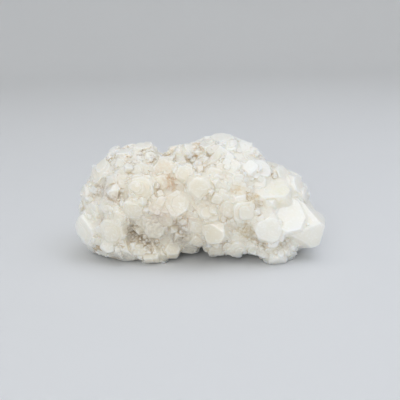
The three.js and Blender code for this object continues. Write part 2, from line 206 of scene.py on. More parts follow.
# What a closer look adds: faces a little out of true, plates on the ends, companions at the sides. Crystals
# of the crust that face forward are filled out.
DETAIL_SEED, OUT_OF_TRUE, FILL = 4817, 0.018, 1.2
TINTS, LESSER_BLUNT = (0.05, 1), (0.7, 1.5)
MORE_TERRACES, TERRACE_LIFT, TERRACE_SIZE, TERRACE_DEPTH = 2.4, (0.15, 0.4), (0.6, 0.95), 0.5
COMPANIONS_PER_MM, COMPANION_WIDTH, COMPANIONS_NARROW, COMPANION_LENGTH = 0.8, (2.6, 5.4), 1.3, 6
COMPANION_ASIDE, COMPANION_BACK, COMPANION_SPLAY, COMPANION_TILT = (0.36, 0.56), (0.1, 2), (0, 0.15), 0.05

# Each crystal of the crust carries a few smaller ones that stand on its end, in a spiral.
BUNDLE_SUNK, BUNDLE_COUNT, BUNDLE_FIRST, BUNDLE_REACH = 0.1, (2, 4), 0.3, 0.34
BUNDLE_SIZE, BUNDLE_LENGTH, BUNDLE_LIFT, BUNDLE_TILT = (0.4, 0.7), 0.8, (-0.9, 0.3), 0.12

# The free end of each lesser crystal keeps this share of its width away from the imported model's box.
EDGE_ROOM = 0.4

# How far out the milky mass and the matrix reach, as shares of the lobes: the matrix is bare at the feet.
CORE, BARE, HIDDEN = 0.99, 0.992, 0.96

# Milky crystal fills the crevices narrower than twice this reach, and stays a little below the faces.
FILL_REACH, FILL_SUNK, FILL_CELL = 1.7, 0.35, 0.9

# Crystals wider than this have worn edges. Wear takes at most this share of a face.
WORN_WIDTH, MOST_WORN = 5, 0.3

# The roughness of the clean faces, of ordinary ones, of the mass between the crystals and of the druse.
CLEAN, ORDINARY, MASS, SUGAR = 0.2, 0.5, 0.75, 1
MASS_TINT = 0.7

# The later growths. Each says how many places are tried, how wide its crystals are, how much sky they see,
# how close they crowd and how far they stand out. The first grows only on the mass between the crystals.
# The druse also covers the sugary patches: middle, radius.
ON_MASS = {
    "tries": 6000, "seed": 61, "width": (1.6, 4.5), "open": (0.06, 1), "spacing": 0.8, "stand": (-0.3, 0.5),
    "patches": (), "rough": ORDINARY, "mass_only": True,
}
IN_HOLLOWS = {
    "tries": 1500, "seed": 63, "width": (2.4, 4.8), "open": (0, 0.5), "spacing": 0.85, "stand": (0, 1),
    "patches": (), "rough": ORDINARY, "mass_only": False,
}
SUGARY = (
    ((-31, -4, 48), 13), ((-42, -6, 42), 9), ((-20, -4, 46), 7), ((-7, -8, 46), 6), ((21, -25, 30), 6),
    ((20, -27, 17), 5),
)
DRUSE = {
    "tries": 14000, "seed": 62, "width": (0.9, 2), "open": (0.12, 0.36), "spacing": 0.8, "stand": (-0.2, 0.2),
    "patches": SUGARY, "rough": SUGAR, "mass_only": False,
}
LATER_NARROW, LATER_BLUNT, LATER_LENGTH = 1.6, (0.6, 1.4), 1.2

# They point to the open, more or less upright on the face, and lean at random.
LATER_UPRIGHT, LATER_LEAN = 0.8, 0.5

# Sugary patches are covered where they see less of the sky than this share.
PATCH_OPEN = 0.85

# Nothing grows within this share of a clean crystal's width from the middle of its end.
CLEAN_REACH = 0.62

# A place sees the sky along a ray that starts a little off it and meets no crystal within this reach.
SKY_RAYS, SKY_START, SKY_REACH = 16, 0.2, 7


def seeded(seed):
    """Repeatable random numbers from 0 to 1."""
    state = seed
    while True:
        state = (state * 1664525 + 1013904223) % 2**32
        yield state / 2**32


def on_sphere(i, count):
    """Direction i of a count of directions that are spread evenly over a sphere, from the top down."""
    height = 1 - (2 * i + 1) / count
    radius = math.sqrt(1 - height * height)
    angle = i * GOLDEN_ANGLE
    return radius * math.cos(angle), radius * math.sin(angle), height


def between(limits, share):
    """A number between two limits."""
    return limits[0] + (limits[1] - limits[0]) * share


@dataclass(eq=False)
class Crystal:
    """One crystal: the middle of its free end, its long axis and its habit, in millimetres."""

    tip: Vector
    axis: Vector
    spin: float
    width: float
    length: float
    blunt: float
    flat: float = 1.0
    uneven: tuple = (0, 0, 0, 0)
    clean: bool = False

    def turn(self):
        """The rotation from the crystal's own axes, +Z out of its free end, to the cluster's."""
        return UP.rotation_difference(self.axis) @ Quaternion(UP, self.spin)


def filled_out(crystal):
    """A crystal of the crust, further out where it faces forward, so that the hollows there are shallow."""
    return replace(crystal, tip=crystal.tip + crystal.axis * FILL * max(0.0, -crystal.axis.y))


def uneven_faces(draw):
    """Four random shares for the unequal pyramid faces of one crystal."""
    return tuple(between((-UNEVEN, UNEVEN), next(draw)) for _ in range(4))


def random_push(draw):
    """A random vector of up to a half along each axis."""
    return Vector([next(draw) - 0.5 for _ in range(3)])


def direction(bearing, rise):
    """The unit vector that a bearing from the front and a rise, in degrees, point along."""
    turned, lifted = math.radians(bearing), math.radians(rise)
    level = math.cos(lifted)
    return Vector((math.sin(turned) * level, -math.cos(turned) * level, math.sin(lifted)))


def table_crystals(table, draw):
    """The crystals of a table of names and measures."""
    grown = []
    for name, (tip, width, bearing, rise, spin, blunt) in table:
        uneven = OWN_FACES.get(name) or uneven_faces(draw)
        axis = direction(bearing, rise)
        turned = math.radians(spin)
        clean = name in CLEAN_CRYSTALS
        grown.append(Crystal(Vector(tip), axis, turned, width, width + ROOT, blunt, 1, uneven, clean))
    return grown


def depth_in(lobe, point):
    """How deep a point lies in a lobe: below 1 is inside it."""
    middle, reach = lobe[:2]
    return Vector((point[i] - middle[i]) / reach[i] for i in range(3)).length


def on_lobe(lobe, unit, share=1):
    """The point of a lobe along a unit vector, at a share of its reach, and the outward direction there."""
    middle, reach = lobe[:2]
    point = Vector(middle[k] + reach[k] * share * unit[k] for k in range(3))
    return point, Vector(unit[k] / reach[k] for k in range(3)).normalized()


def places_on(lobe):
    """Evenly spread places on a lobe that no other lobe covers, each with its outward direction."""
    others = [other for other in LOBES.values() if other is not lobe]
    for i in range(TRIES):
        point, outward = on_lobe(lobe, on_sphere((i * STRIDE) % TRIES, TRIES))
        covered = any(depth_in(other, point) < COVERED for other in others)
        if not covered and point.z > LOWEST:
            yield point, outward


def on_large_crystal(point, large):
    """True where a large crystal already stands."""
    for crystal in large:
        back = crystal.tip - point
        along = back.dot(crystal.axis)
        aside = math.sqrt(max(0.0, back.length_squared - along * along))
        near = aside < CLEARANCE * crystal.width / 2
        if near and -crystal.width < along < crystal.length:
            return True
    return False


def crust_crystal(point, outward, width, stand, broken, draw):
    """A crystal of the crust on a place, leaning at random."""
    push = random_push(draw)
    height = between(stand, next(draw)) - (BROKEN["sunk"] * width if broken else 0)
    flat = between(FLAT, next(draw))
    blunt = between(BLUNT, 1 if broken else next(draw))
    uneven = uneven_faces(draw)
    spin = next(draw) * math.pi
    axis = (outward + push * (BROKEN["lean"] if broken else LEAN)).normalized()
    return Crystal(point + outward * height, axis, spin, width, width, blunt, flat, uneven)


def grow_crust(large, draw):
    """The crust of smaller crystals that covers the mass between the large ones."""
    taken = []
    crust = []
    for lobe in LOBES.values():
        widths, stand = lobe[2:]
        for point, outward in places_on(lobe):
            low_back = outward.y > BROKEN["facing"] and point.z < BROKEN["below"]
            broken = outward.z < BROKEN["under"] or low_back
            coarser = BACK_COARSER if outward.y > BACK_FACING else 1
            coarser = BROKEN["coarser"] if broken else coarser
            width = between(widths, next(draw) ** MOSTLY_NARROW) * coarser
            crowded = any((p - point).length < SPACING * (w + width) / 2 for p, w in taken)
            if not crowded and not on_large_crystal(point, large):
                crust.append(crust_crystal(point, outward, width, stand, broken, draw))
                taken.append((point, width))
    return crust


def terraces(crystal, draw):
    """Growth terraces: ever smaller plates stacked on the free end of a crystal."""
    plates = []
    lift, size = 0, 1
    for _ in range(1 + int(MORE_TERRACES * next(draw))):
        lift += between(TERRACE_LIFT, next(draw))
        size *= between(TERRACE_SIZE, next(draw))
        room = crystal.width * (1 - size) / 2
        slide = Vector((room * between((-1, 1), next(draw)), room * between((-1, 1), next(draw)), lift))
        tip = crystal.tip + crystal.turn() @ slide
        depth = crystal.width * TERRACE_DEPTH
        plates.append(replace(crystal, tip=tip, width=crystal.width * size, length=depth))
    return plates


def attached(crystal, shift, axis, width, length, draw):
    """A lesser crystal on another one, at a shift in the other one's own axes."""
    tip = crystal.tip + crystal.turn() @ Vector(shift)
    blunt = between(LESSER_BLUNT, next(draw))
    uneven = uneven_faces(draw)
    return replace(crystal, tip=tip, axis=axis, width=width, length=length, blunt=blunt, uneven=uneven)


def companions(crystal, draw):
    """Smaller crystals that grew all round the end of a larger one, a little behind it."""
    grown = []
    count = round(crystal.width * COMPANIONS_PER_MM)
    for i in range(count):
        around = (i + next(draw)) * 2 * math.pi / count
        outward = Vector((math.cos(around), math.sin(around), 0))
        back = -between(COMPANION_BACK, next(draw))
        shift = outward * crystal.width * between(COMPANION_ASIDE, next(draw)) + UP * back
        lean = outward * between(COMPANION_SPLAY, next(draw))
        lean += random_push(draw) * 2 * COMPANION_TILT
        axis = crystal.turn() @ (UP + lean).normalized()
        width = between(COMPANION_WIDTH, next(draw) ** COMPANIONS_NARROW)
        grown.append(attached(crystal, shift, axis, width, COMPANION_LENGTH, draw))
    return grown


def within_box(crystal):
    """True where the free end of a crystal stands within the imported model's box."""
    end = (crystal.tip + CENTRING) * MM
    reach = crystal.width * EDGE_ROOM * MM
    aside = all(LOW[k] < end[k] - reach and end[k] + reach < HIGH[k] for k in (0, 1))
    return aside and end.z + reach < HIGH.z + reach * UP.cross(crystal.axis).length


def bundle(crystal, draw):
    """A crystal of the crust, as a bundle of smaller ones that are all but parallel."""
    grown = [replace(crystal, tip=crystal.tip - crystal.axis * BUNDLE_SUNK)]
    count = round(between(BUNDLE_COUNT, next(draw)))
    for i in range(count):
        around = i * GOLDEN_ANGLE + next(draw)
        aside = crystal.width * BUNDLE_REACH * math.sqrt((i + BUNDLE_FIRST) / count)
        shift = (math.cos(around) * aside, math.sin(around) * aside, between(BUNDLE_LIFT, next(draw)))
        axis = (crystal.axis + random_push(draw) * 2 * BUNDLE_TILT).normalized()
        width = crystal.width * between(BUNDLE_SIZE, next(draw))
        one = attached(crystal, shift, axis, width, crystal.width * BUNDLE_LENGTH, draw)
        grown += [one, *terraces(one, draw)[:1]]
    return grown


def family(crystal, draw):
    """A large crystal with the plates and companions that grew on it."""
    return [crystal] if crystal.clean else [crystal, *terraces(crystal, draw), *companions(crystal, draw)]


# A crystal has ten faces, which meet by threes. Faces within this angle of each other count as one.
PLANE_TRIPLES = np.array(list(combinations(range(10), 3)))
FLAT_ANGLE = 0.004


def crystal_planes(crystal, draw):
    """The planes that bound a crystal, in its own axes: their normals and offsets."""
    half = crystal.width / 2
    normals = [(1, 0, 0), (-1, 0, 0), (0, 1, 0), (0, -1, 0), (0, 0, 1), (0, 0, -1)]
    offsets = [half, half, half * crystal.flat, half * crystal.flat, 0, crystal.length]
    for (x, y), share in zip(((-1, -1), (-1, 1), (1, -1), (1, 1)), crystal.uneven):
        normals.append((x, y, 1 / PYRAMID_RISE))
        offsets.append(half * crystal.blunt * (1 + share))
    tilt = 0 if crystal.clean else OUT_OF_TRUE
    jitter = [[tilt * between((-1, 1), next(draw)) for _ in range(3)] for _ in normals]
    return np.array(normals, float) + np.array(jitter), np.array(offsets, float)


def worn_corners(normals, offsets, wear):
    """The corners of the body that planes bound, drawn in on each face so that its hull has worn edges."""
    sets = normals[PLANE_TRIPLES]
    good = np.abs(np.linalg.det(sets)) > 1e-6
    met = np.linalg.solve(sets[good], offsets[PLANE_TRIPLES][good][..., None])[..., 0]
    inside = (met @ normals.T < offsets + 1e-6).all(axis=1)
    corners = np.unique(met[inside].round(5), axis=0)
    on_plane = np.abs(corners @ normals.T - offsets) < 1e-3
    worn = []
    for face in on_plane.T:
        if face.sum() > 2:
            rim = corners[face]
            inward = rim.mean(axis=0) - rim
            reach = np.linalg.norm(inward, axis=1, keepdims=True)
            worn.append(rim + inward * np.minimum(MOST_WORN, wear / np.maximum(reach, 1e-6)))
    return np.concatenate(worn)


def add_object(name, data):
    """Adds an object to the scene in place of an older one of its name."""
    old = bpy.data.objects.get(name)
    if old:
        bpy.data.objects.remove(old)
    new = bpy.data.objects.new(name, data)
    bpy.context.scene.collection.objects.link(new)
    return new


def mesh_of(shape, name):
    """Turns an edited shape into a mesh of its own, and frees the shape."""
    mesh = bpy.data.meshes.new(name)
    shape.to_mesh(mesh)
    shape.free()
    return mesh


def evaluated(holder):
    """The mesh of an object as its modifiers leave it."""
    depsgraph = bpy.context.evaluated_depsgraph_get()
    return bpy.data.meshes.new_from_object(holder.evaluated_get(depsgraph))


def hull(points):
    """The closed convex mesh round some points."""
    shape = bmesh.new()
    for point in points:
        shape.verts.new(point)
    made = bmesh.ops.convex_hull(shape, input=shape.verts[:])
    loose = {g for g in made["geom_interior"] + made["geom_unused"] if isinstance(g, bmesh.types.BMVert)}
    bmesh.ops.delete(shape, geom=list(loose), context="VERTS")
    bmesh.ops.dissolve_limit(shape, angle_limit=FLAT_ANGLE, verts=shape.verts[:], edges=shape.edges[:])
    return mesh_of(shape, "hull")


def in_frame(mesh, place=Matrix.Identity(4)):
    """Puts a mesh made in the tables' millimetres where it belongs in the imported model, in metres."""
    mesh.transform(Matrix.Scale(MM, 4) @ Matrix.Translation(CENTRING) @ place)
    return mesh


def crystal_body(crystal, tint, wear, draw, rough=ORDINARY):
    """One crystal as a closed mesh, with its own axes, its tint and its roughness as attributes."""
    mesh = hull(worn_corners(*crystal_planes(crystal, draw), wear))
    grain = mesh.attributes.new("grain", "FLOAT_VECTOR", "CORNER")
    corners = [mesh.vertices[loop.vertex_index].co for loop in mesh.loops]
    grain.data.foreach_set("vector", np.array(corners, np.float32).ravel())
    marked(mesh, tint, CLEAN if crystal.clean else rough)
    return in_frame(mesh, Matrix.Translation(crystal.tip) @ crystal.turn().to_matrix().to_4x4())


def marked(mesh, tint, rough):
    """Gives all the faces of a mesh a tint and a roughness, as attributes."""
    for name, value in (("tint", tint), ("rough", rough)):
        share = mesh.attributes.new(name, "FLOAT", "FACE")
        share.data.foreach_set("value", np.full(len(mesh.polygons), value, np.float32))
    return mesh


def lump(lobe, share, detail, rough=None):
    """A lobe of the mass as a closed mesh, at a share of its reach, roughened where a function says how."""
    shape = bmesh.new()
    bmesh.ops.create_icosphere(shape, subdivisions=detail, radius=1)
    for corner in shape.verts:
        point, outward = on_lobe(lobe, corner.co, share)
        corner.co = point + outward * (rough(point) if rough else 0)
    return in_frame(mesh_of(shape, "lump"))


def fused(name, meshes):
    """Overlapping closed meshes as one, cut flat where the cluster stands, without any sealed pockets."""
    first = add_object("first", meshes[0])
    others = [bpy.data.objects.new("other", mesh) for mesh in meshes[1:]]
    rest = bpy.data.collections.new("rest")
    for other in others:
        rest.objects.link(other)
    cube = bmesh.new()
    bmesh.ops.create_cube(cube, size=1, matrix=Matrix.Translation((0, 0, -0.5)))
    ground = add_object("ground", mesh_of(cube, "ground"))
    join = first.modifiers.new("join", "BOOLEAN")
    join.operation, join.solver, join.operand_type, join.collection = "UNION", "MANIFOLD", "COLLECTION", rest
    cut = first.modifiers.new("cut", "BOOLEAN")
    cut.operation, cut.solver, cut.object = "DIFFERENCE", "MANIFOLD", ground
    whole = evaluated(first)
    for used in [first, *others, ground]:
        mesh = used.data
        bpy.data.objects.remove(used)
        bpy.data.meshes.remove(mesh)
    bpy.data.collections.remove(rest)
    whole.name = name
    keep_outer_skin(whole)
    return whole


def crevice_fill(mesh):
    """The milky mass that fills the narrow crevices of a mesh: a copy that is swollen, then shrunk more."""
    holder = add_object("holder", mesh)
    for distance in (0, FILL_REACH, -FILL_REACH - FILL_SUNK):
        swell = holder.modifiers.new("swell", "DISPLACE")
        swell.strength, swell.mid_level = distance * MM, 0
        cells = holder.modifiers.new("cells", "REMESH")
        cells.mode, cells.voxel_size = "VOXEL", FILL_CELL * MM
    filled = evaluated(holder)
    bpy.data.objects.remove(holder)
    return marked(filled, MASS_TINT, MASS)


def keep_outer_skin(mesh):
    """Deletes every closed skin of a mesh but its largest, such as pockets sealed between crystals."""
    shape = bmesh.new()
    shape.from_mesh(mesh)
    skins = []
    waiting = set(shape.verts)
    while waiting:
        skin, front = set(), [waiting.pop()]
        while front:
            corner = front.pop()
            skin.add(corner)
            near = {edge.other_vert(corner) for edge in corner.link_edges} & waiting
            waiting -= near
            front.extend(near)
        skins.append(skin)
    largest = max(skins, key=len)
    lesser = [corner for skin in skins if skin is not largest for corner in skin]
    bmesh.ops.delete(shape, geom=lesser, context="VERTS")
    shape.to_mesh(mesh)
    shape.free()


def open_sky(tree, point, normal):
    """How much of the sky a place sees, as a share, and the direction that it mostly sees."""
    start = point + normal * SKY_START * MM
    seen = []
    for i in range(SKY_RAYS):
        ray = Vector(on_sphere(i, SKY_RAYS))
        outward = ray if ray.dot(normal) > 0 else -ray
        if tree.ray_cast(start, outward, SKY_REACH * MM)[0] is None:
            seen.append(outward)
    return len(seen) / SKY_RAYS, sum(seen, normal.copy()).normalized()


def read(items, field, kind, count=1):
    """A field of all the items in a part of a mesh, as an array."""
    values = np.empty(len(items) * count, kind)
    items.foreach_get(field, values)
    return values if count == 1 else values.reshape(-1, count)


def places_on_mesh(mesh, rule):
    """Random places on a mesh, evenly spread by area: point, outward direction, share of sky, way out."""
    mesh.calc_loop_triangles()
    corners = read(mesh.vertices, "co", np.float32, 3)
    ids = read(mesh.loop_triangles, "vertices", np.int32, 3)
    tree = BVHTree.FromPolygons(corners.tolist(), ids.tolist())
    a, b, c = (corners[ids[:, k]] for k in range(3))
    normals = np.cross(b - a, c - a).astype(float)
    areas = np.linalg.norm(normals, axis=1)
    if rule["mass_only"]:
        rough = read(mesh.attributes["rough"].data, "value", np.float32)
        areas = areas * (rough[read(mesh.loop_triangles, "polygon_index", np.int32)] == MASS)
    random = np.random.RandomState(rule["seed"])
    chosen = random.choice(len(areas), rule["tries"], p=areas / areas.sum())
    shares = random.rand(rule["tries"], 2)
    shares = np.where(shares.sum(axis=1, keepdims=True) > 1, 1 - shares, shares)
    for i, (s, t) in zip(chosen, shares):
        point = Vector(a[i] + (b[i] - a[i]) * s + (c[i] - a[i]) * t)
        normal = Vector(normals[i]).normalized()
        yield point, normal, *open_sky(tree, point, normal)


class Spread:
    """Keeps places apart: it remembers each place that was taken, with its width."""

    def __init__(self, widest):
        self.cell = widest
        self.taken = {}

    def has_room(self, point, width, spacing):
        """Takes a place and says True, where no other is nearer than the widths and spacing allow."""
        home = tuple(math.floor(value / self.cell) for value in point)
        for step in product((-1, 0, 1), repeat=3):
            for other, wide in self.taken.get(tuple(h + s for h, s in zip(home, step)), ()):
                if (other - point).length < spacing * (width + wide) / 2:
                    return False
        self.taken.setdefault(home, []).append((point, width))
        return True


def later_growth(mesh, rule, large, draw):
    """Smaller crystals that grew later on a mesh, where a rule says, pointing to the open."""
    grown = []
    spread = Spread(rule["width"][1])
    least, most = rule["open"]
    for point, normal, sky, way_out in places_on_mesh(mesh, rule):
        width = between(rule["width"], next(draw) ** LATER_NARROW)
        stand = between(rule["stand"], next(draw))
        spin = next(draw) * math.pi
        blunt = between(LATER_BLUNT, next(draw))
        push = random_push(draw)
        uneven = uneven_faces(draw)
        place = point / MM - CENTRING
        patchy = any((place - Vector(middle)).length < reach for middle, reach in rule["patches"])
        sheltered = least <= sky <= most or (patchy and sky < PATCH_OPEN)
        free = place.z > LOWEST and not on_clean_face(place, large)
        if sheltered and free and spread.has_room(place, width, rule["spacing"]):
            axis = (way_out + normal * LATER_UPRIGHT + push * LATER_LEAN).normalized()
            length = width * LATER_LENGTH
            grown.append(Crystal(place + axis * stand, axis, spin, width, length, blunt, 1, uneven))
    return grown


def overgrown(name, mesh, rule, large, draw):
    """A mesh with a later growth fused to it."""
    bodies = [mesh]
    for crystal in filter(within_box, later_growth(mesh, rule, large, draw)):
        tint = between(TINTS, next(draw))
        plates = [] if rule["rough"] == SUGAR else terraces(crystal, draw)[:1]
        bodies += [crystal_body(one, tint, 0, draw, rule["rough"]) for one in [crystal, *plates]]
    return fused(name, bodies)


def on_clean_face(point, large):
    """True on or near the smooth clean faces, where nothing grows."""
    clean = (crystal for crystal in large if crystal.clean)
    return any((crystal.tip - point).length < crystal.width * CLEAN_REACH for crystal in clean)


def linear(text):
    """An sRGB hex colour as linear red, green, blue and alpha."""
    shares = [int(text[i:i + 2], 16) / 255 for i in (1, 3, 5)]
    return (*(s / 12.92 if s <= 0.04045 else ((s + 0.055) / 1.055) ** 2.4 for s in shares), 1.0)


def sized(place, size, **inputs):
    """The inputs of a texture node whose features are a size in millimetres."""
    return {"Vector": place, "Scale": 1 / (size * MM), **inputs}


def add(tree, kind, inputs=(), out=0, **settings):
    """Adds a node with its settings, feeds its inputs, by name or in order, and gives one of its outputs.

    In order, a MapRange node takes a value, the range that it has and the range that it gets. Inputs 6 and 7
    of a Mix node are its two colours, and output 2 is the mixed one.
    """
    node = tree.nodes.new(f"ShaderNode{kind}")
    for name, value in settings.items():
        setattr(node, name, value)
    for socket, value in inputs.items() if isinstance(inputs, dict) else enumerate(inputs):
        if isinstance(value, bpy.types.NodeSocket):
            tree.links.new(value, node.inputs[socket])
        else:
            node.inputs[socket].default_value = value
    return node.outputs[out] if node.outputs else None


def new_material(name):
    """An empty node material and its tree, with the place of the surface in metres."""
    material = bpy.data.materials.get(name) or bpy.data.materials.new(name)
    material.use_nodes = True
    tree = material.node_tree
    tree.nodes.clear()
    return material, tree, add(tree, "TexCoord", out="Object")


# A spot is at its strength within the first of these shares of its reach, and gone at the second.
SPOT_CORE, SPOT_EDGE = 0.3, 1.15

# The crystals are creamiest in the low middle of the face: middle and reach in millimetres, strength.
CREAMY = ((-12, -26, 20), 42, 0.75)

# Where the crevices are darkest, with staining and painted shade: middle and reach in millimetres, strength.
DARK_CREVICES = (
    ((-28.3, -19.9, 14.9), 5, 1), ((-26.5, -22.2, 11.8), 5, 1), ((-20.6, -22.4, 11.7), 5, 0.9),
    ((-16.2, -20.5, 11.4), 4.5, 0.9), ((-12.9, -22.4, 13.9), 4.5, 0.8), ((-6.6, -24.4, 14), 4.5, 0.7),
    ((22.7, -24.5, 30.7), 3, 0.8), ((24.9, -23.9, 31.4), 3, 0.8), ((15.9, -21, 30.8), 3, 0.6),
    ((24, -24.7, 12.3), 4, 0.9), ((-37, -22.3, 29.4), 3, 0.7), ((-1.8, -12.2, 43.8), 2.5, 0.4),
    ((1.7, -15.7, 43.6), 2.5, 0.4), ((13.7, -28.8, 29.1), 2.5, 0.6), ((-10.8, -28.4, 29.6), 2.5, 0.5),
)

# Stains and painted shade on the faces: middle and reach in millimetres, colour, strength.
FACE_STAINS_AND_SHADE = (
    ((-12, -21.1, 39.8), 2.6, "#B8925C", 0.8), ((-14.8, -19.1, 36.6), 2.6, "#B8925C", 0.7),
    ((-12.8, -22.5, 37.5), 4.5, "#D9B88F", 0.7), ((-1.2, -2.1, 50), 3.2, "#C8A878", 0.6),
    ((-0.8, -6.8, 48.2), 2.8, "#C8A878", 0.6), ((-0.8, -9.1, 46.3), 2.6, "#C8A878", 0.6),
    ((-12.6, 1.5, 46.8), 4, "#D9BB7E", 0.5), ((-26.8, -7.8, 46.7), 2, "#8F7558", 0.8),
    ((-25.6, -4.7, 47.9), 2, "#8F7558", 0.8), ((-21.3, -8.8, 46.3), 2, "#8F7558", 0.7),
    ((-42.7, -14.5, 33.4), 6, "#C7B8A8", 0.8), ((-38.8, -20.7, 32.2), 5, "#C7B8A8", 0.8),
    # Painted shade: the two pink-beige spots on this line and the first on the next one shade the hollows low
    # in the middle.
    ((-16, -28, 27), 8, "#D8C8BA", 0.45), ((-18.4, -26.8, 23), 5, "#CDBBAC", 0.5),
    ((-8, -28, 22), 7, "#D6C6B6", 0.45), ((19.8, -27.5, 17.1), 5.5, "#C8B27E", 0.8),
    ((22, -25.5, 30), 5, "#CDB47C", 0.75), ((16.5, -23.5, 34), 4.5, "#DCC590", 0.6),
    ((-15, -17.1, 44.8), 6, "#E2D0B8", 0.5), ((-36.8, -22, 4.8), 6, "#B4B2AD", 0.7),
    ((-20.5, -26.5, 18.5), 8, "#C3BCAE", 0.5), ((35.4, -20.3, 32.8), 8, "#EBE6C6", 0.4),
    # Painted shade with some brown staining: the second spot here and all after it darken the low middle, the
    # gap under it and the right end's underside.
    ((-32.6, -23.1, 5.2), 0.9, "#6E8457", 1), ((26, -26, 11.5), 5, "#B19E7C", 0.7),
    ((0, -20, 5), 8, "#9F978B", 0.65), ((-28.3, -20.5, 14), 6.5, "#A9977C", 0.9),
    ((-10, -24, 13), 5.5, "#B0A493", 0.8), ((-23, -23, 10.5), 5, "#B0A28C", 0.8),
    ((-29.5, -22, 18), 5.5, "#A9977C", 0.85), ((-7.5, -28, 15), 4.5, "#B0A493", 0.7),
    ((36, -25.5, 9.5), 6, "#CFC3AC", 0.5),
)


def wavering(tree, place):
    """A place in metres, pushed about by up to 1.5 mm so that the edges of the stains are ragged."""
    noise = add(tree, "TexNoise", sized(place, 2.2, Detail=3), "Color")
    push = add(tree, "VectorMath", (noise, (0.5, 0.5, 0.5)), operation="SUBTRACT")
    scaled = add(tree, "VectorMath", {0: push, "Scale": 6 * MM}, operation="SCALE")
    return add(tree, "VectorMath", (place, scaled), operation="ADD")


def spot(tree, place, middle, reach, strength):
    """A strength that fades from the middle of a spot, in millimetres, to nothing at its reach."""
    ends = (place, (Vector(middle) + CENTRING) * MM)
    far = add(tree, "VectorMath", ends, "Value", operation="DISTANCE")
    ranges = (reach * SPOT_CORE * MM, reach * SPOT_EDGE * MM, strength, 0)
    return add(tree, "MapRange", (far, *ranges), interpolation_type="SMOOTHSTEP")


def stained_and_shaded(tree, place, colour, crevice, look, share):
    """A colour with staining and painted shade in its crevices, darkest in the named ones, and the same on
    its faces.
    """
    ragged = wavering(tree, place)
    for middle, reach, strength in DARK_CREVICES:
        local = spot(tree, ragged, middle, reach, strength)
        share = add(tree, "Math", (share, local), operation="MAXIMUM")
    amount = add(tree, "Math", (share, crevice), operation="MULTIPLY")
    colour = add(tree, "Mix", {0: amount, 6: colour, 7: look.stain_and_shade}, 2, data_type="RGBA")
    # The stains and painted shade on the faces are mottled, in specks of about a millimetre.
    specks = add(tree, "TexNoise", sized(place, 1.4, Detail=4, Roughness=0.65))
    mottle = add(tree, "MapRange", (specks, 0.4, 0.62, 0.15, 1))
    for middle, reach, text, strength in FACE_STAINS_AND_SHADE:
        local = spot(tree, ragged, middle, reach, strength)
        local = add(tree, "Math", (local, mottle), operation="MULTIPLY")
        colour = add(tree, "Mix", {0: local, 6: colour, 7: linear(text)}, 2, data_type="RGBA")
    return colour


def crevices(tree, reach, ragged):
    """How closed in the surface is, from 0 in the open to 1, within a reach in millimetres."""
    around = add(tree, "AmbientOcclusion", {"Distance": reach * MM}, "AO", samples=8, only_local=True)
    closed = add(tree, "MapRange", (around, 0.88, 0.36))
    return add(tree, "Math", (closed, ragged), operation="MULTIPLY", use_clamp=True)


def rims(tree, reach):
    """How near an edge of its crystal a place is, from 0 on the open face to 1, within a reach in mm."""
    depth = {"Distance": reach * MM}
    inside = add(tree, "AmbientOcclusion", depth, "AO", samples=8, only_local=True, inside=True)
    return add(tree, "MapRange", (inside, 1, 0.5))


